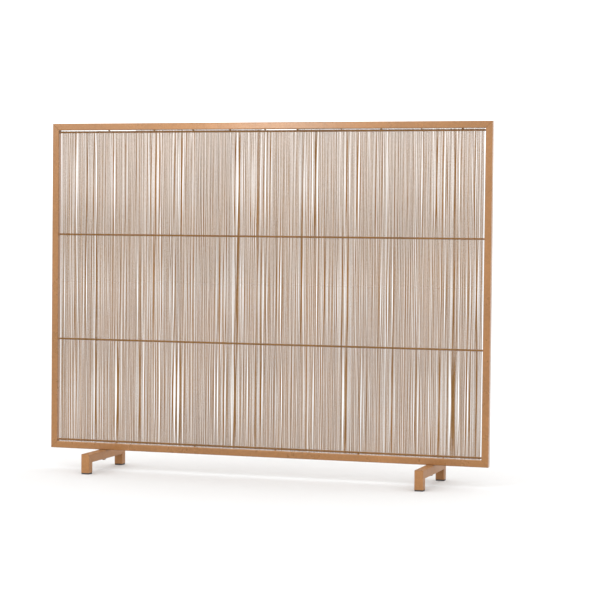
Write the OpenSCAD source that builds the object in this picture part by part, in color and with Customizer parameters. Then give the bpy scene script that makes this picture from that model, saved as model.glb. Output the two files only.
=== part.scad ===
// Free-standing single-panel fireplace screen.
// A mitred tube frame holds a grille of upright wires on four level rods,
// and stands on two feet of square tube with rubber pads.
// Origin: centre of the footprint, on the floor. +X to the right, +Y to the back, +Z up.

/* [Overall] */
// Width of the frame from side to side
overall_w = 990.6; // [900:0.1:1300]
// Height from the floor to the top of the frame
overall_h = 762; // [500:1:1000]
// Depth of each foot from front to back
overall_d = 203.2; // [150:0.1:300]

/* [Frame] */
// Outer side of the frame's square tube
frame_tube = 15; // [13:0.5:25]
// Wall of the frame's tube
frame_wall = 1.2; // [0.8:0.1:1.5]
// Radius of the frame tube's outer edges
frame_edge_r = 1.8; // [1.6:0.1:3]

/* [Grille] */
// Diameter of the four level rods
rod_d = 4; // [3:0.5:6]
// Open gap between the frame and the top and bottom rods
rod_gap = 2; // [1.6:0.1:8]
// Drop from the frame's top to the upper middle rod, as a share of the frame's height
upper_rod_share = 0.34; // [0.25:0.01:0.45]
// Drop from the frame's top to the lower middle rod, as a share of the frame's height
lower_rod_share = 0.662; // [0.55:0.001:0.75]
// Diameter of the upright wires
wire_d = 1.0; // [0.8:0.1:3]
// Number of wires in each of the two layers
wires_per_layer = 350; // [80:1:400]
// Clear space between a stile and the nearest wire
wire_side_gap = 4.5; // [3:0.5:15]
// Length of a wire's tip beyond the top and bottom rods
wire_tip = 1.2; // [0:0.1:1.4]
// Diameter of the studs that join the grille to the frame
stud_d = 3.2; // [2:0.1:4]
// Number of studs along the bottom rod
bottom_studs = 5; // [3:1:5]
// Distance between neighbouring studs along the bottom rod
bottom_stud_pitch = 185; // [120:1:195]
// How far the row of bottom studs sits to the right of the middle
bottom_stud_shift = 28; // [-40:1:40]

/* [Feet] */
// Outer side of the foot's square tube
foot_tube = 19; // [17:0.5:25]
// Wall of the foot's tube
foot_wall = 1.5; // [1:0.1:1.8]
// Radius of the foot tube's outer edges
foot_edge_r = 2; // [1.9:0.1:3]
// Height of the bottom rail above the floor
foot_h = 43.7; // [35:0.1:80]
// Distance between the middles of the two feet
foot_spacing = 742; // [400:1:820]

/* [Pads] */
// Thickness of a rubber pad below its leg
pad_t = 3; // [2:0.5:6]
// Height of the pad's plug inside the leg
pad_plug_h = 9; // [6:1:12]
// How far the pad's rim stands in from the leg's outside
pad_inset = 0.4; // [0.1:0.1:1]

/* [Fasteners] */
// Diameter of a foot bolt's shank
bolt_d = 6; // [5:0.5:6.5]
// Diameter of the bolt's domed head
bolt_head_d = 11.5; // [10:0.5:13]
// Height of the bolt's domed head
bolt_head_h = 3.4; // [3:0.1:5]
// Size across the corners of the hexagon socket in the head
bolt_socket = 4.6; // [3:0.1:5]
// Outer diameter of the washer
washer_d = 14; // [13:0.5:16]
// Thickness of the washer
washer_t = 1.2; // [1:0.1:2]
// Outer diameter of the threaded insert's body
insert_d = 9; // [8.5:0.5:9.5]
// Height of the threaded insert
insert_h = 9.5; // [8:0.5:10]

/* [Hidden] */

// Directions: the left foot is on -X, the front legs are on -Y
LEFT = -1;
RIGHT = 1;
FRONT = -1;
REAR = 1;

COPPER = [0.72, 0.53, 0.38];
SHADED_COPPER = [0.55, 0.38, 0.26];
RUBBER = [0.12, 0.12, 0.12];
ZINC = [0.64, 0.64, 0.62];

round_fn = 48;
wire_fn = 24;
// Overlap that keeps a cut clear of the face it starts from
over = 1;
// Depth to which touching wires, rods and studs sink into each other at their welds
weld_bite = 0.15;
// Places of the hand-set studs along the top rod, from the middle, as shares of the rail's clear length
TOP_STUD_SHARES = [
    -0.378, -0.267, -0.173, -0.085, -0.002, 0.074, 0.175, 0.266, 0.357, 0.448
];

// Frame
frame_h = overall_h - foot_h;
inner_w = overall_w - 2 * frame_tube;

// Grille
rod_r = rod_d / 2;
top_rod_z = overall_h - frame_tube - rod_gap - rod_r;
bottom_rod_z = foot_h + frame_tube + rod_gap + rod_r;
upper_rod_z = overall_h - frame_h * upper_rod_share;
lower_rod_z = overall_h - frame_h * lower_rod_share;
wire_r = wire_d / 2;
wire_layer_y = rod_r + wire_r - weld_bite;
wire_bottom_z = bottom_rod_z - rod_r - wire_tip;
wire_h = top_rod_z + rod_r + wire_tip - wire_bottom_z;
// Each wire of the back layer stands straight behind one of the front layer
wire_pitch = (inner_w - 2 * wire_side_gap - wire_d) / (wires_per_layer - 1);
first_wire_x = -inner_w / 2 + wire_side_gap + wire_r;
stud_h = rod_gap + 2 * weld_bite;

// Feet
foot_x = foot_spacing / 2;
crossbar_bottom_z = foot_h - foot_tube;
leg_h = foot_h - pad_t;
leg_y = overall_d / 2 - foot_tube / 2;
leg_bore = foot_tube - 2 * foot_wall;
plug_clearance = 0.05;

// Fasteners, from the head up
bolt_hole_d = bolt_d + 0.6;
washer_bottom_z = crossbar_bottom_z - washer_t;
bolt_tip_z = foot_h + insert_h + 1;
insert_collar_d = insert_d + 2.4;
insert_collar_h = 3;
thread_clearance = 0.1;
socket_depth = 2;

// Square with its centre at the origin and round corners
module rounded_square(side, r) {
    inset = side / 2 - r;
    square([side, 2 * inset], center = true);
    square([2 * inset, side], center = true);
    for (sx = [-1, 1], sy = [-1, 1])
        translate([sx * inset, sy * inset])
            circle(r, $fn = round_fn);
}

// Hollow square tube standing on z = 0
module square_tube(side, wall, edge_r, length) {
    linear_extrude(length)
        difference() {
            rounded_square(side, edge_r);
            rounded_square(side - 2 * wall, edge_r - wall / 2);
        }
}

// Tube along +Z whose outer side lies on x = 0. An end with a mitre is cut at 45 degrees,
// so that the tube is longest on its outer side.
module mitred_tube(side, wall, edge_r, length, low_mitre = true, high_mitre = true) {
    low = low_mitre ? side + over : -over;
    high = high_mitre ? length - side - over : length + over;
    intersection() {
        translate([-side / 2, 0, 0])
            square_tube(side, wall, edge_r, length);
        rotate([90, 0, 0])
            linear_extrude(2 * side, center = true)
                polygon([[over, -over], [over, length + over], [-side - over, high], [-side - over, low]]);
    }
}

module frame_member(length) {
    color(COPPER)
        mitred_tube(frame_tube, frame_wall, frame_edge_r, length);
}

// Turns a tube along +Z into a level one along +X whose outer side faces down
module lay_level() {
    rotate([0, 90, 0])
        children();
}

module frame_stile(side) {
    translate([side * overall_w / 2, 0, foot_h])
        rotate([0, 0, side == RIGHT ? 0 : 180])
            frame_member(frame_h);
}

module frame_top_rail() {
    translate([-overall_w / 2, 0, overall_h])
        mirror([0, 0, 1])
            lay_level()
                frame_member(overall_w);
}

// The bottom rail has a hole over each foot for a threaded insert
module frame_bottom_rail() {
    difference() {
        translate([-overall_w / 2, 0, foot_h])
            lay_level()
                frame_member(overall_w);
        at_both_feet()
            translate([0, 0, foot_h - over])
                cylinder(d = insert_d, h = frame_wall + 2 * over, $fn = round_fn);
    }
}

// Round rod from stile to stile
module level_rod(z) {
    color(SHADED_COPPER)
        translate([-inner_w / 2, 0, z])
            lay_level()
                cylinder(r = rod_r, h = inner_w, $fn = round_fn);
}

// One layer of upright wires
module wire_layer(y) {
    color(COPPER)
        for (i = [0 : wires_per_layer - 1])
            translate([first_wire_x + i * wire_pitch, y, wire_bottom_z])
                cylinder(r = wire_r, h = wire_h, $fn = wire_fn);
}

// Row of short studs that bridge the gap between a rod and the frame
module stud_row(places, bottom_z) {
    color(SHADED_COPPER)
        for (x = places)
            translate([x, 0, bottom_z])
                cylinder(d = stud_d, h = stud_h, $fn = round_fn);
}

module top_spacer_studs() {
    stud_row([for (share = TOP_STUD_SHARES) share * inner_w], top_rod_z + rod_r - weld_bite);
}

module bottom_spacer_studs() {
    middle = (bottom_studs - 1) / 2;
    places = [for (i = [0 : bottom_studs - 1]) bottom_stud_shift + (i - middle) * bottom_stud_pitch];
    stud_row(places, foot_h + frame_tube - weld_bite);
}

module at_both_feet() {
    for (side = [LEFT, RIGHT])
        translate([side * foot_x, 0, 0])
            children();
}

// Level tube of a foot, mitred to its two legs and drilled through for the bolt
module foot_crossbar(side) {
    color(COPPER)
        translate([side * foot_x, 0, 0])
            difference() {
                translate([0, -overall_d / 2, foot_h])
                    rotate([-90, 90, 0])
                        rotate([0, 0, 180])
                            mitred_tube(foot_tube, foot_wall, foot_edge_r, overall_d);
                translate([0, 0, crossbar_bottom_z - over])
                    cylinder(d = bolt_hole_d, h = foot_tube + 2 * over, $fn = round_fn);
            }
}

// Short upright tube at one end of a foot, mitred at its top
module foot_leg(side, end) {
    color(COPPER)
        translate([side * foot_x, end * overall_d / 2, pad_t])
            rotate([0, 0, end * 90])
                mitred_tube(foot_tube, foot_wall, foot_edge_r, leg_h, low_mitre = false);
}

// Rubber pad with a plug that fills the leg's open end
module pad(side, end) {
    pad_side = foot_tube - 2 * pad_inset;
    color(RUBBER)
        translate([side * foot_x, end * leg_y, 0]) {
            linear_extrude(pad_t)
                rounded_square(pad_side, foot_edge_r);
            translate([0, 0, pad_t])
                linear_extrude(pad_plug_h)
                    rounded_square(leg_bore - 2 * plug_clearance, foot_edge_r - foot_wall / 2);
        }
}

// Domed screw with a hexagon socket, driven up through the crossbar into the rail
module foot_bolt() {
    dome_r = (pow(bolt_head_d / 2, 2) + pow(bolt_head_h, 2)) / (2 * bolt_head_h);
    difference() {
        union() {
            intersection() {
                translate([0, 0, washer_bottom_z - bolt_head_h + dome_r])
                    sphere(dome_r, $fn = round_fn);
                translate([0, 0, washer_bottom_z - bolt_head_h])
                    cylinder(d = bolt_head_d, h = bolt_head_h, $fn = round_fn);
            }
            translate([0, 0, washer_bottom_z - over])
                cylinder(d = bolt_d, h = bolt_tip_z - washer_bottom_z + over, $fn = round_fn);
        }
        translate([0, 0, washer_bottom_z - bolt_head_h - over])
            cylinder(d = bolt_socket, h = socket_depth + over, $fn = 6);
    }
}

module foot_bolts() {
    color(ZINC)
        at_both_feet()
            foot_bolt();
}

module bolt_washers() {
    color(ZINC)
        at_both_feet()
            translate([0, 0, washer_bottom_z])
                difference() {
                    cylinder(d = washer_d, h = washer_t, $fn = round_fn);
                    translate([0, 0, -over])
                        cylinder(d = bolt_hole_d, h = washer_t + 2 * over, $fn = round_fn);
                }
}

// Threaded insert, flush with the rail's underside, with a collar that grips inside the wall
module insert_nut() {
    difference() {
        union() {
            cylinder(d = insert_d, h = insert_h, $fn = round_fn);
            translate([0, 0, frame_wall])
                cylinder(d = insert_collar_d, h = insert_collar_h, $fn = round_fn);
        }
        translate([0, 0, -over])
            cylinder(d = bolt_d + thread_clearance, h = insert_h + 2 * over, $fn = round_fn);
    }
}

module rail_insert_nuts() {
    color(ZINC)
        at_both_feet()
            translate([0, 0, foot_h])
                insert_nut();
}

frame_top_rail();
frame_bottom_rail();
frame_stile(LEFT);  // frame_left_stile
frame_stile(RIGHT);  // frame_right_stile
level_rod(top_rod_z);  // panel_top_rod
level_rod(upper_rod_z);  // upper_mid_rod
level_rod(lower_rod_z);  // lower_mid_rod
level_rod(bottom_rod_z);  // panel_bottom_rod
wire_layer(-wire_layer_y);  // front_wires
wire_layer(wire_layer_y);  // back_wires
top_spacer_studs();
bottom_spacer_studs();
foot_crossbar(LEFT);  // left_foot_crossbar
foot_leg(LEFT, FRONT);  // left_foot_front_leg
foot_leg(LEFT, REAR);  // left_foot_rear_leg
foot_crossbar(RIGHT);  // right_foot_crossbar
foot_leg(RIGHT, FRONT);  // right_foot_front_leg
foot_leg(RIGHT, REAR);  // right_foot_rear_leg
pad(LEFT, FRONT);  // left_front_pad
pad(LEFT, REAR);  // left_rear_pad
pad(RIGHT, FRONT);  // right_front_pad
pad(RIGHT, REAR);  // right_rear_pad
foot_bolts();
bolt_washers();
rail_insert_nuts();
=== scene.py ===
import math
import random

import bpy
from mathutils import Matrix, Vector


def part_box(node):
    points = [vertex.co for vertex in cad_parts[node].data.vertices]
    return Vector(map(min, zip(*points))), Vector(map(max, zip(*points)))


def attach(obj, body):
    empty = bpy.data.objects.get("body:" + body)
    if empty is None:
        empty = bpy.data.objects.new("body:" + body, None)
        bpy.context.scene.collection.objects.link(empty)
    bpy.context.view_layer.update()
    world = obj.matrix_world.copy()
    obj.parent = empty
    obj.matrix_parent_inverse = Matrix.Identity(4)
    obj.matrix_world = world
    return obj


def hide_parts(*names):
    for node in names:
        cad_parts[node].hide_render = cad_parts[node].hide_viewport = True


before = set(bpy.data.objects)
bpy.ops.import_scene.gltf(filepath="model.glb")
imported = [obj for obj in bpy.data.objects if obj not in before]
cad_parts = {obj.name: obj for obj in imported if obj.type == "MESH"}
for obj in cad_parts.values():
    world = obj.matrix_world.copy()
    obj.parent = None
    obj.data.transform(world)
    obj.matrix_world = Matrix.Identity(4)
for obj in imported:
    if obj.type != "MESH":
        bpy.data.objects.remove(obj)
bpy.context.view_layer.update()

# ---------------------------------------------------------------------------
# Places and sizes, all in metres, read from the frame
# ---------------------------------------------------------------------------

MM = 0.001
scene = bpy.context.scene
draw = random.Random(4817)

RODS = ("panel_bottom_rod", "lower_mid_rod", "upper_mid_rod", "panel_top_rod")
FRAME_TUBES = ("frame_top_rail", "frame_bottom_rail", "frame_left_stile", "frame_right_stile")
FOOT_TUBES = (
    "left_foot_crossbar", "left_foot_front_leg", "left_foot_rear_leg",
    "right_foot_crossbar", "right_foot_front_leg", "right_foot_rear_leg",
)
PADS = ("left_front_pad", "left_rear_pad", "right_front_pad", "right_rear_pad")
STUDS = ("top_spacer_studs", "bottom_spacer_studs")
WIRES_PER_LAYER = 350

rod_boxes = [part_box(name) for name in RODS]
rod_z = [(lo.z + hi.z) / 2 for lo, hi in rod_boxes]
rod_r = (rod_boxes[0][1].z - rod_boxes[0][0].z) / 2
stile_x = rod_boxes[0][1].x
rail_lo, rail_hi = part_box("frame_top_rail")
sill_lo, sill_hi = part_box("frame_bottom_rail")
tube = rail_hi.z - rail_lo.z
foot_lo, foot_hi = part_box("left_foot_crossbar")
foot_tube = foot_hi.x - foot_lo.x

# ---------------------------------------------------------------------------
# Camera
# ---------------------------------------------------------------------------

CAMERA_PLACE = Vector((1.3457, -3.9918, 0.5339))
CAMERA_YAW = math.radians(-17.59)
CAMERA_PITCH = math.radians(-2.06)
CAMERA_ROLL = math.radians(0.585)
CAMERA_LENS = 117.83
CAMERA_SENSOR = 36.0


def make_camera():
    data = bpy.data.cameras.new("camera")
    data.sensor_width = CAMERA_SENSOR
    data.lens = CAMERA_LENS
    data.clip_end = 100.0
    camera = bpy.data.objects.new("camera", data)
    scene.collection.objects.link(camera)
    level = Vector((math.sin(CAMERA_YAW), math.cos(CAMERA_YAW), 0.0))
    forward = level * math.cos(CAMERA_PITCH) + Vector((0.0, 0.0, math.sin(CAMERA_PITCH)))
    right = Vector((math.cos(CAMERA_YAW), -math.sin(CAMERA_YAW), 0.0))
    up = right.cross(forward)
    rolled_right = math.cos(CAMERA_ROLL) * right + math.sin(CAMERA_ROLL) * up
    rolled_up = math.cos(CAMERA_ROLL) * up - math.sin(CAMERA_ROLL) * right
    turn = Matrix((rolled_right, rolled_up, -forward)).transposed().to_4x4()
    turn.translation = CAMERA_PLACE
    camera.matrix_world = turn
    scene.camera = camera


# ---------------------------------------------------------------------------
# Materials
# ---------------------------------------------------------------------------


class Nodes:
    """One material's node tree, with a short call for each kind of node it needs."""

    def __init__(self, name):
        self.material = bpy.data.materials.new(name)
        self.material.use_nodes = True
        self.tree = self.material.node_tree
        self.shader = self.tree.nodes["Principled BSDF"]
        self.where = self.add("ShaderNodeTexCoord").outputs["Object"]

    def add(self, kind, **settings):
        node = self.tree.nodes.new(kind)
        for key, value in settings.items():
            setattr(node, key, value)
        return node

    def feed(self, socket, value):
        if isinstance(value, bpy.types.NodeSocket):
            self.tree.links.new(value, socket)
        else:
            socket.default_value = value

    def math(self, operation, *values, clamp=False):
        node = self.add("ShaderNodeMath", operation=operation, use_clamp=clamp)
        for socket, value in zip(node.inputs, values):
            self.feed(socket, value)
        return node.outputs["Value"]

    def noise(self, scale, detail=2.0, rough=0.5):
        node = self.add("ShaderNodeTexNoise")
        self.feed(node.inputs["Vector"], self.where)
        node.inputs["Scale"].default_value = scale
        node.inputs["Detail"].default_value = detail
        node.inputs["Roughness"].default_value = rough
        return node.outputs["Fac"]

    def cells(self, scale):
        """A random level from 0 to 1 for each small cell, as flakes in a paint."""
        node = self.add("ShaderNodeTexVoronoi")
        self.feed(node.inputs["Vector"], self.where)
        node.inputs["Scale"].default_value = scale
        split = self.add("ShaderNodeSeparateColor")
        self.feed(split.inputs["Color"], node.outputs["Color"])
        return split.outputs["Red"]

    def spread(self, value, low, high, to_low=0.0, to_high=1.0, smooth=False):
        node = self.add("ShaderNodeMapRange")
        node.interpolation_type = "SMOOTHSTEP" if smooth else "LINEAR"
        self.feed(node.inputs["Value"], value)
        for key, number in zip(("From Min", "From Max", "To Min", "To Max"), (low, high, to_low, to_high)):
            node.inputs[key].default_value = number
        return node.outputs["Result"]

    def blend(self, amount, first, second):
        node = self.add("ShaderNodeMix", data_type="RGBA")
        self.feed(node.inputs["Factor"], amount)
        self.feed(node.inputs[6], first)
        self.feed(node.inputs[7], second)
        return node.outputs[2]

    def total(self, *parts):
        """The sum of (value, weight) pairs, each value centred on 0.5, about a middle of 0.5."""
        level = 0.5
        for value, weight in parts:
            centred = self.math("SUBTRACT", value, 0.5)
            scaled = self.math("MULTIPLY", centred, weight)
            level = self.math("ADD", scaled, level)
        return self.math("ADD", level, 0.0, clamp=True)

    def bump(self, height, distance):
        node = self.add("ShaderNodeBump")
        node.inputs["Strength"].default_value = 1.0
        node.inputs["Distance"].default_value = distance
        self.feed(node.inputs["Height"], height)
        self.feed(self.shader.inputs["Normal"], node.outputs["Normal"])

    def rounding(self):
        """0 on the flat faces of a square tube and 1 in the middle of its rounded edges."""
        facing = self.add("ShaderNodeNewGeometry").outputs["Normal"]
        split = self.add("ShaderNodeSeparateXYZ")
        self.feed(split.inputs["Vector"], facing)
        x, y, z = (self.math("ABSOLUTE", split.outputs[axis]) for axis in "XYZ")
        largest = self.math("MAXIMUM", x, self.math("MAXIMUM", y, z))
        return self.spread(largest, 0.97, 0.78, smooth=True)

    def mitre(self, axis, half, top, bottom, reach):
        """1 on the thin diagonal seam where two square tubes meet at an outer corner."""
        split = self.add("ShaderNodeSeparateXYZ")
        self.feed(split.inputs["Vector"], self.where)
        across = self.math("SUBTRACT", half, self.math("ABSOLUTE", split.outputs[axis]))
        down = self.math("SUBTRACT", top, split.outputs["Z"])
        if bottom is not None:
            down = self.math("MINIMUM", down, self.math("SUBTRACT", split.outputs["Z"], bottom))
        apart = self.math("ABSOLUTE", self.math("SUBTRACT", across, down))
        line = self.spread(apart, 0.9 * MM, 0.2 * MM, smooth=True)
        near = self.math("LESS_THAN", across, reach + 0.5 * MM)
        return self.math("MULTIPLY", line, near)


def tinted(colour, factor):
    return tuple(channel * factor for channel in colour[:3]) + (1.0,)


def painted(
    name, colour, rough, metal=0.3, coat=0.55, gloss=0.25, swing=0.30, seam=None, edges=False, tone=False
):
    """A satin metallic paint: slow drift of tone, mottling, fine flakes and orange peel."""
    n = Nodes(name)
    drift = n.noise(6.0, 3.0, 0.55)
    mottle = n.noise(170.0, 4.0, 0.6)
    flakes = n.cells(2600.0)
    parts = [(drift, 0.9), (mottle, 0.7), (flakes, 0.35)]
    if tone:
        own = n.add("ShaderNodeAttribute", attribute_name="tone").outputs["Fac"]
        parts.append((own, 1.0))
    level = n.total(*parts)
    base = n.blend(level, tinted(colour, 1 - swing), tinted(colour, 1 + swing))
    if edges:
        # Lightens the rounded edges in patches: partly wear of the paint, partly a painted highlight where
        # the edges catch the light.
        patchy = n.spread(n.noise(90.0, 4.0, 0.65), 0.42, 0.62, smooth=True)
        edge_wear_and_highlight = n.math("MULTIPLY", n.rounding(), patchy)
        worn_and_highlit = tuple(0.55 * c + 0.45 * p for c, p in zip(colour, (0.78, 0.60, 0.44))) + (1.0,)
        base = n.blend(n.math("MULTIPLY", edge_wear_and_highlight, 0.35), base, worn_and_highlit)
    if seam:
        line = n.mitre(*seam)
        shade = n.math("MULTIPLY", line, n.spread(n.noise(60.0), 0.3, 0.7, 0.35, 0.75))
        base = n.blend(shade, base, tinted(colour, 0.45))
    n.feed(n.shader.inputs["Base Color"], base)
    smear = n.noise(22.0, 5.0, 0.6)
    n.feed(n.shader.inputs["Roughness"], n.spread(smear, 0.3, 0.7, rough - 0.05, rough + 0.07))
    n.shader.inputs["Metallic"].default_value = metal
    n.shader.inputs["Specular IOR Level"].default_value = gloss
    n.shader.inputs["Coat Weight"].default_value = coat
    n.shader.inputs["Coat Roughness"].default_value = 0.16
    peel = n.noise(620.0, 2.0, 0.45)
    n.bump(n.math("ADD", peel, n.math("MULTIPLY", flakes, 0.15)), 0.035 * MM)
    return n.material


def rubber(name):
    """Matt black moulded rubber: fine grain under patches of dust."""
    n = Nodes(name)
    grain = n.noise(1500.0, 3.0, 0.6)
    dust = n.noise(120.0, 4.0, 0.6)
    level = n.total((grain, 0.5), (dust, 1.2))
    n.feed(n.shader.inputs["Base Color"], n.blend(level, (0.016, 0.015, 0.014, 1), (0.055, 0.052, 0.050, 1)))
    n.feed(n.shader.inputs["Roughness"], n.spread(dust, 0.3, 0.7, 0.62, 0.82))
    n.bump(grain, 0.06 * MM)
    return n.material


def zinc(name):
    """Dull zinc plate: crystal spangle in faint tones, with a soft haze."""
    n = Nodes(name)
    spangle = n.cells(900.0)
    haze = n.noise(260.0, 4.0, 0.6)
    level = n.total((spangle, 0.5), (haze, 0.8))
    n.feed(n.shader.inputs["Base Color"], n.blend(level, (0.40, 0.41, 0.43, 1), (0.66, 0.67, 0.69, 1)))
    n.feed(n.shader.inputs["Roughness"], n.spread(haze, 0.3, 0.7, 0.26, 0.42))
    n.shader.inputs["Metallic"].default_value = 1.0
    n.bump(haze, 0.02 * MM)
    return n.material


COPPER = (0.285, 0.131, 0.043)
# Painted light: the feet share the frame's paint but take a lighter, less saturated copy of the copper,
# standing in for the stronger light on their fronts.
FOOT_COPPER_PAINTED_LIGHT = (0.316, 0.153, 0.061)
WIRE_COPPER = (0.290, 0.150, 0.045)
tube_paint = painted(
    "painted_tube_look", COPPER, 0.29, edges=True,
    seam=("X", rail_hi.x, rail_hi.z, sill_lo.z, tube),
)
foot_paint_painted_light = painted(
    "foot_look_painted_light", FOOT_COPPER_PAINTED_LIGHT, 0.42, metal=0.15, coat=0.1, gloss=0.15, edges=True,
    seam=("Y", foot_hi.y, foot_hi.z, None, foot_tube),
)
# Painted shade: the rods, studs and spot welds take a darker copy of the frame's copper, standing in for the
# shade they sit in among the wires.
rod_paint_with_painted_shade = painted("rod_look_with_painted_shade", tinted(COPPER, 0.78), 0.42, coat=0.3, gloss=0.35)
wire_paint = painted("painted_wire_look", WIRE_COPPER, 0.42, coat=0.1, gloss=0.2, tone=True)
bolt_paint = painted("painted_bolt_look", tinted(COPPER, 0.80), 0.40)
pad_rubber = rubber("rubber_pad_look")
zinc_plate = zinc("zinc_plate_look")


def dress(names, material):
    for name in names:
        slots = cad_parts[name].material_slots
        for slot in slots:
            slot.material = material


# ---------------------------------------------------------------------------
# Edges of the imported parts
# ---------------------------------------------------------------------------


def ease_edges(names, width):
    """Breaks the cut edges, so that a mitre shows as a fine groove and not as a painted line."""
    for name in names:
        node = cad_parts[name]
        weld = node.modifiers.new("weld", "WELD")
        weld.merge_threshold = 0.002 * MM
        bevel = node.modifiers.new("bevel", "BEVEL")
        bevel.width = width
        bevel.segments = 2
        bevel.limit_method = "ANGLE"
        bevel.angle_limit = math.radians(35)
        even = node.modifiers.new("normals", "WEIGHTED_NORMAL")
        even.weight = 60
        even.keep_sharp = False


# ---------------------------------------------------------------------------
# Mesh pieces
# ---------------------------------------------------------------------------


def make_piece(name, vertices, faces, material):
    mesh = bpy.data.meshes.new(name)
    mesh.from_pydata(vertices, [], faces)
    mesh.validate()
    mesh.polygons.foreach_set("use_smooth", [True] * len(mesh.polygons))
    mesh.materials.append(material)
    piece = bpy.data.objects.new(name, mesh)
    scene.collection.objects.link(piece)
    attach(piece, "root")
    return piece


# Bunches and gaps that catch the eye: (X in mm, width in mm, bay), where bay is 0 at the
# bottom and 2 at the top. A gap has a negative width.
FEATURES = (
    (-442, 3, 2), (-414, 3, 2), (-398, 5, 2), (-393, -3, 2), (-351, 3, 2), (-348, -3, 2), (-323, 3, 2),
    (-267, -3, 2), (-264, 4, 2), (-246, -3, 2), (-252, 4, 2), (-208, 3, 2), (-191, 4, 2), (-188, -3, 2),
    (-69, 4, 2), (-64, -4, 2), (-58, 5, 2), (-16, 9, 2), (0, -4, 2), (11, 3, 2), (84, 5, 2),
    (106, -3, 2), (112, 5, 2), (116, -3, 2), (182, 5, 2), (205, 4, 2), (209, -3, 2), (245, 3, 2),
    (345, -3, 2), (377, 4, 2), (390, 3, 2), (394, -3, 2), (416, 6, 2), (425, -3, 2), (457, 3, 2),
    (-467, -3, 1), (-441, 4, 1), (-417, 3, 1), (-390, 4, 1), (-322, -3, 1), (-292, -3, 1), (-281, -3, 1),
    (-255, 4, 1), (-236, 3, 1), (-208, -3, 1), (-163, 3, 1), (-102, 6, 1), (-94, 3, 1), (-87, 3, 1),
    (-61, 12, 1), (-47, -3, 1), (-7, 3, 1), (-2, -4, 1), (7, -3, 1), (27, 3, 1), (37, -3, 1),
    (83, 5, 1), (118, -3, 1), (135, 5, 1), (175, 5, 1), (187, 6, 1), (259, -3, 1), (274, -3, 1),
    (285, -3, 1), (398, -3, 1), (417, 6, 1), (423, 4, 1), (444, -3, 1), (452, -3, 1), (465, 4, 1),
    (-476, -3, 0), (-437, 4, 0), (-390, 5, 0), (-343, -4, 0), (-337, 4, 0), (-285, 7, 0), (-251, -3, 0),
    (-239, -3, 0), (-208, 3, 0), (-204, -3, 0), (-200, 3, 0), (-196, -4, 0), (-190, 3, 0), (-185, -3, 0),
    (-111, -3, 0), (-104, -4, 0), (-90, 3, 0), (-86, -3, 0), (-64, 8, 0), (-36, -3, 0), (-18, 6, 0),
    (-2, -4, 0), (41, -3, 0), (97, 5, 0), (112, -4, 0), (178, -3, 0), (185, 8, 0), (218, -3, 0),
    (230, 5, 0), (286, 5, 0), (338, 3, 0), (343, -3, 0), (388, 5, 0), (405, 3, 0), (410, -3, 0),
    (418, 12, 0), (430, -3, 0), (443, -3, 0), (449, -4, 0), (467, 6, 0),
)


def parallax(x, depth, front):
    """How far to the right the camera sees a wire that stands depth behind the front layer."""
    return (CAMERA_PLACE.x - x) * depth / (front - CAMERA_PLACE.y)


def steer(row, bay, depth, front, share):
    """Pulls the wires of one row into the bunches of a bay and pushes them out of its gaps."""
    for place, width, where in FEATURES:
        if where != bay:
            continue
        centre = place * MM - parallax(place * MM, depth, front)
        size = abs(width) * MM
        reach = (size + 2.3 * MM) if width > 0 else (0.8 * size + 2.6 * MM)
        for i, x in enumerate(row):
            off = x - centre
            if abs(off) > reach:
                continue
            near = (1 - (off / reach) ** 2) ** 2
            if width > 0:
                row[i] -= share * 0.66 * off * near
            else:
                row[i] += share * math.copysign(0.30 * size, off) * near


def part_wires(row, least, low, high, rounds=24):
    """Pushes neighbours apart until none are nearer than least, inside low to high."""
    for _ in range(rounds):
        for i in range(len(row) - 1):
            short = least - (row[i + 1] - row[i])
            if short > 0:
                row[i] -= short / 2
                row[i + 1] += short / 2
        row[0] = max(row[0], low)
        row[-1] = min(row[-1], high)


def curve_through(knots, z):
    """Height z on the smooth curve through knots, a list of (z, x) from bottom to top."""
    last = len(knots) - 1
    k = 0
    while k < last - 1 and z > knots[k + 1][0]:
        k += 1
    z0, x0 = knots[k]
    z1, x1 = knots[k + 1]

    def slope(i):
        a, b = knots[max(i - 1, 0)], knots[min(i + 1, last)]
        return (b[1] - a[1]) / (b[0] - a[0])

    step = z1 - z0
    t = (z - z0) / step
    t2, t3 = t * t, t * t * t
    return (
        (2 * t3 - 3 * t2 + 1) * x0 + (t3 - 2 * t2 + t) * step * slope(k)
        + (3 * t2 - 2 * t3) * x1 + (t3 - t2) * step * slope(k + 1)
    )


BAY_STEPS = 6
SIDES = 8
OWN_SCATTER = 0.10 * MM
ROD_SCATTER = 0.09 * MM
BOW_SCATTER = 0.12 * MM
STRAY_SHARE = 0.20
STRAY_FACTOR = 3.0
ROD_SHARE = 0.20
SLIP_MIDDLE = -0.26 * MM
SLIP_ACROSS = 0.60 * MM
# Stretches, in mm, where the wires' top ends are trimmed close to the rod
SHORT_TIPS = ((-480, -300), (-8, 68))


def scatter(sigma):
    """A random shift: mostly within sigma, and now and then of a wire that strays further."""
    factor = STRAY_FACTOR if draw.random() < STRAY_SHARE else 1.0
    return draw.gauss(0.0, sigma * factor)


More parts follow.
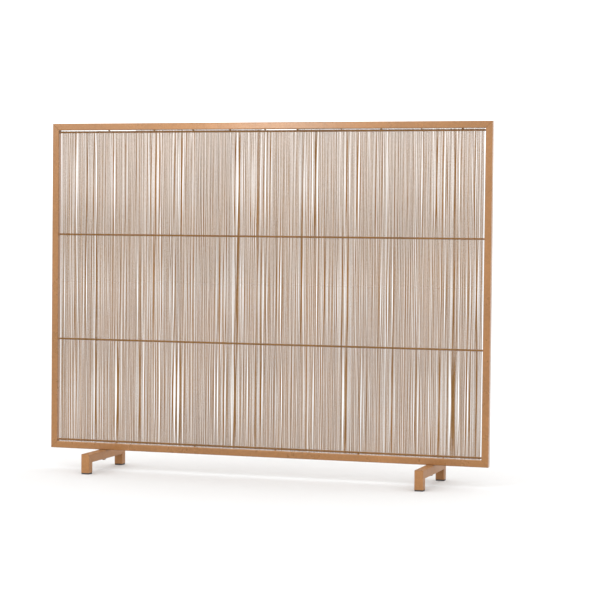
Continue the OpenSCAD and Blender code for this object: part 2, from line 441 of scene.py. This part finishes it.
def wire_layer(name, node, material):
    """Makes the wires of one layer, bent a little between their welds, and returns their rod crossings."""
    lo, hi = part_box(node)
    radius = (hi.y - lo.y) / 2
    depth_y = (hi.y + lo.y) / 2
    pitch = (hi.x - lo.x - 2 * radius) / (WIRES_PER_LAYER - 1)
    front_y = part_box("front_wires")[0].y + radius
    behind = depth_y - front_y
    base = [lo.x + radius + i * pitch for i in range(WIRES_PER_LAYER)]
    if behind:
        base = [x + SLIP_MIDDLE + SLIP_ACROSS * x / stile_x for x in base]
    own = [scatter(OWN_SCATTER) for _ in base]
    rows = []
    heights = []
    for k, z in enumerate(rod_z):
        row = [x + o + scatter(ROD_SCATTER) for x, o in zip(base, own)]
        for bay in (k - 1, k):
            steer(row, bay, behind, front_y, ROD_SHARE)
        rows.append(row)
        heights.append(z)
        if k < len(rod_z) - 1:
            row = [x + o + scatter(BOW_SCATTER) for x, o in zip(base, own)]
            steer(row, k, behind, front_y, 1.0)
            rows.append(row)
            heights.append((z + rod_z[k + 1]) / 2)
    limit = stile_x - radius - 0.4 * MM
    for row in rows:
        part_wires(row, 2 * radius + 0.05 * MM, -limit, limit)
    knots = [[(heights[r], rows[r][i]) for r in range(len(rows))] for i in range(WIRES_PER_LAYER)]

    levels = [lo.z, lo.z + 0.4 * MM]
    for k in range(len(rod_z) - 1):
        levels += [rod_z[k] + (rod_z[k + 1] - rod_z[k]) * s / BAY_STEPS for s in range(BAY_STEPS)]
    levels += [rod_z[-1], hi.z - 0.4 * MM, hi.z]
    paths = []
    for z in levels:
        inside = min(max(z, rod_z[0]), rod_z[-1])
        row = [curve_through(k, inside) for k in knots]
        part_wires(row, 2 * radius + 0.02 * MM, -limit, limit)
        paths.append(row)

    top_gap = rail_lo.z - hi.z
    low_gap = lo.z - sill_hi.z
    sway = [[draw.gauss(0.0, 0.35 * MM) for _ in range(3)] for _ in base]
    vertices, faces, tones = [], [], []
    ring = [(math.cos(2 * math.pi * s / SIDES), math.sin(2 * math.pi * s / SIDES)) for s in range(SIDES)]
    for i in range(WIRES_PER_LAYER):
        tone = min(max(0.5 + draw.gauss(0.0, 0.14), 0.0), 1.0)
        first = len(vertices)
        short = any(a * MM < base[i] < b * MM for a, b in SHORT_TIPS)
        spare = -0.7 * MM if short else 0.45 * top_gap
        cut = spare + draw.uniform(-0.25, 0.15) * MM
        foot = low_gap * draw.uniform(0.55, 0.78)
        for j, z in enumerate(levels):
            end = j == 0 or j == len(levels) - 1
            r = radius * (0.72 if end else 1.0)
            y = depth_y
            for k in range(3):
                if rod_z[k] < z < rod_z[k + 1]:
                    t = (z - rod_z[k]) / (rod_z[k + 1] - rod_z[k])
                    y += max(min(sway[i][k], 0.9 * MM), -0.9 * MM) * math.sin(math.pi * t)
            if j >= len(levels) - 2:
                z += cut
            if j <= 1:
                z -= foot
            for c, s in ring:
                vertices.append((paths[j][i] + r * c, y + r * s, z))
                tones.append(tone)
        for j in range(len(levels) - 1):
            a = first + j * SIDES
            for s in range(SIDES):
                t = (s + 1) % SIDES
                faces.append((a + s, a + t, a + SIDES + t, a + SIDES + s))
        faces.append(tuple(first + s for s in reversed(range(SIDES))))
        top = first + (len(levels) - 1) * SIDES
        faces.append(tuple(top + s for s in range(SIDES)))
    piece = make_piece(name, vertices, faces, material)
    attribute = piece.data.attributes.new("tone", "FLOAT", "POINT")
    attribute.data.foreach_set("value", tones)
    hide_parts(node)
    rod_rows = [levels.index(z) for z in rod_z]
    return [(depth_y, radius, z, paths[j]) for j, z in zip(rod_rows, rod_z)]


def bead(centre, radii, turn, vertices, faces):
    """A small smooth lump of twenty faces, as the metal of a weld."""
    phi = (1 + math.sqrt(5)) / 2
    corners = [(-1, phi, 0), (1, phi, 0), (-1, -phi, 0), (1, -phi, 0), (0, -1, phi), (0, 1, phi),
               (0, -1, -phi), (0, 1, -phi), (phi, 0, -1), (phi, 0, 1), (-phi, 0, -1), (-phi, 0, 1)]
    sides = [(0, 11, 5), (0, 5, 1), (0, 1, 7), (0, 7, 10), (0, 10, 11), (1, 5, 9), (5, 11, 4), (11, 10, 2),
             (10, 7, 6), (7, 1, 8), (3, 9, 4), (3, 4, 2), (3, 2, 6), (3, 6, 8), (3, 8, 9), (4, 9, 5),
             (2, 4, 11), (6, 2, 10), (8, 6, 7), (9, 8, 1)]
    first = len(vertices)
    size = math.sqrt(1 + phi * phi)
    c, s = math.cos(turn), math.sin(turn)
    for x, y, z in corners:
        x, z = x * c - z * s, x * s + z * c
        vertices.append(tuple(m + r * v / size for m, r, v in zip(centre, radii, (x, y, z))))
    faces += [tuple(first + i for i in side) for side in sides]


def spot_welds(crossings, material):
    """The squeezed metal between each wire and each rod that it crosses."""
    vertices, faces = [], []
    for depth_y, radius, z, row in crossings:
        touch = math.copysign(rod_r - 0.05 * MM, depth_y)
        for x in row:
            size = radius * draw.uniform(1.05, 1.3)
            radii = (size, 0.55 * radius, size * draw.uniform(0.9, 1.1))
            bead((x, touch, z), radii, draw.uniform(0, math.pi), vertices, faces)
    return make_piece("wire_spot_welds", vertices, faces, material)


def fillet(centre, axis, inner, outer, height, vertices, faces, steps=20):
    """A ring of weld metal where a round bar meets a flat face, fading up the bar along axis."""
    axis = Vector(axis)
    side = axis.orthogonal().normalized()
    other = axis.cross(side)
    profile = [
        (outer, -0.15 * MM), (outer, 0.0),
        (0.72 * outer + 0.28 * inner, 0.22 * height), (0.35 * outer + 0.65 * inner, 0.55 * height),
        (inner + 0.02 * MM, height), (inner - 0.2 * MM, height),
    ]
    first = len(vertices)
    lumps = [draw.uniform(0.9, 1.12) for _ in range(steps)]
    for r, up in profile:
        for s in range(steps):
            angle = 2 * math.pi * s / steps
            lump = (lumps[s] + lumps[(s + 1) % steps]) / 2
            reach = inner + (r - inner) * lump if r > inner else r
            spot = Vector(centre) + axis * up + (side * math.cos(angle) + other * math.sin(angle)) * reach
            vertices.append(tuple(spot))
    rings = len(profile)
    for j in range(rings - 1):
        for s in range(steps):
            t = (s + 1) % steps
            a, b = first + j * steps, first + (j + 1) * steps
            faces.append((a + s, a + t, b + t, b + s))
    faces.append(tuple(first + s for s in reversed(range(steps))))
    faces.append(tuple(first + (rings - 1) * steps + s for s in range(steps)))


def stud_places(node):
    """Centres in X of the separate studs of one node, found from its mesh."""
    spots = sorted(v.co.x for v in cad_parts[node].data.vertices)
    groups = [[spots[0]]]
    for x in spots[1:]:
        if x - groups[-1][-1] > 5 * MM:
            groups.append([])
        groups[-1].append(x)
    return [((g[0] + g[-1]) / 2, (g[-1] - g[0]) / 2) for g in groups]


def bar_welds(material):
    """Fillets at the ends of the four rods and round the studs that space the panel."""
    vertices, faces = [], []
    for z in rod_z:
        for side in (-1, 1):
            fillet((side * stile_x, 0.0, z), (-side, 0.0, 0.0), rod_r, 1.6 * rod_r, 1.5 * MM, vertices, faces)
    for node, face_z, up in (("top_spacer_studs", rail_lo.z, -1), ("bottom_spacer_studs", sill_hi.z, 1)):
        for x, radius in stud_places(node):
            fillet((x, 0.0, face_z), (0.0, 0.0, up), radius, 1.55 * radius, 1.0 * MM, vertices, faces)
    return make_piece("bar_weld_fillets", vertices, faces, material)


# ---------------------------------------------------------------------------
# Floor, lights and world
# ---------------------------------------------------------------------------


def make_floor():
    n = Nodes("floor_look")
    tone = n.total((n.noise(1.3, 3.0), 0.6), (n.noise(40.0, 3.0), 0.4))
    n.feed(n.shader.inputs["Base Color"], n.blend(tone, (0.605, 0.605, 0.605, 1), (0.635, 0.635, 0.635, 1)))
    n.feed(n.shader.inputs["Roughness"], n.spread(tone, 0.3, 0.7, 0.85, 0.95))
    n.shader.inputs["Specular IOR Level"].default_value = 0.1
    mesh = bpy.data.meshes.new("floor")
    half = 14.0
    corners = [(-half, -half, 0), (half, -half, 0), (half, half, 0), (-half, half, 0)]
    mesh.from_pydata(corners, [], [(0, 1, 2, 3)])
    mesh.materials.append(n.material)
    floor = bpy.data.objects.new("floor", mesh)
    scene.collection.objects.link(floor)


def make_area(name, place, target, width, height, power):
    data = bpy.data.lights.new(name, "AREA")
    data.shape = "RECTANGLE"
    data.size = width
    data.size_y = height
    data.energy = power
    light = bpy.data.objects.new(name, data)
    light.location = place
    light.rotation_mode = "QUATERNION"
    light.rotation_quaternion = (Vector(target) - Vector(place)).to_track_quat("-Z", "Y")
    light.visible_camera = False
    scene.collection.objects.link(light)


def make_sun(name, turn, strength, angle):
    data = bpy.data.lights.new(name, "SUN")
    data.energy = strength
    data.angle = math.radians(angle)
    light = bpy.data.objects.new(name, data)
    light.rotation_euler = tuple(math.radians(v) for v in turn)
    scene.collection.objects.link(light)


def make_world(level, high):
    """A white studio, of brightness level at the horizon and high from a few degrees above it."""
    world = bpy.data.worlds.new("studio")
    scene.world = world
    world.use_nodes = True
    tree = world.node_tree
    back = tree.nodes["Background"]
    back.inputs["Color"].default_value = (1.0, 1.0, 1.0, 1.0)
    split = tree.nodes.new("ShaderNodeSeparateXYZ")
    climb = tree.nodes.new("ShaderNodeMapRange")
    for key, number in zip(("From Min", "From Max", "To Min", "To Max"), (0.0, 0.065, level, high)):
        climb.inputs[key].default_value = number
    tree.links.new(tree.nodes.new("ShaderNodeTexCoord").outputs["Generated"], split.inputs["Vector"])
    tree.links.new(split.outputs["Z"], climb.inputs["Value"])
    tree.links.new(climb.outputs["Result"], back.inputs["Strength"])


# ---------------------------------------------------------------------------
# The scene
# ---------------------------------------------------------------------------

make_camera()

dress(FRAME_TUBES, tube_paint)
dress(FOOT_TUBES, foot_paint_painted_light)
dress(RODS, rod_paint_with_painted_shade)
dress(STUDS, rod_paint_with_painted_shade)
dress(PADS, pad_rubber)
dress(("foot_bolts",), bolt_paint)
dress(("bolt_washers", "rail_insert_nuts"), zinc_plate)
ease_edges(FRAME_TUBES + FOOT_TUBES, 0.35 * MM)

front = wire_layer("front_wire_layer", "front_wires", wire_paint)
back = wire_layer("back_wire_layer", "back_wires", wire_paint)
spot_welds(front + back, rod_paint_with_painted_shade)
bar_welds(tube_paint)

make_floor()
make_world(1.14, 1.75)
make_area("key", (-1.28, -4.0, 1.10), (0.0, 0.0, 0.60), 0.40, 0.6, 10.0)
make_area("side", (-2.20, -3.8, 1.25), (0.0, 0.0, 0.60), 0.8, 0.6, 3.0)
make_sun("top_fill", (35, 0, -20), 0.25, 60)

scene.view_settings.view_transform = "Standard"
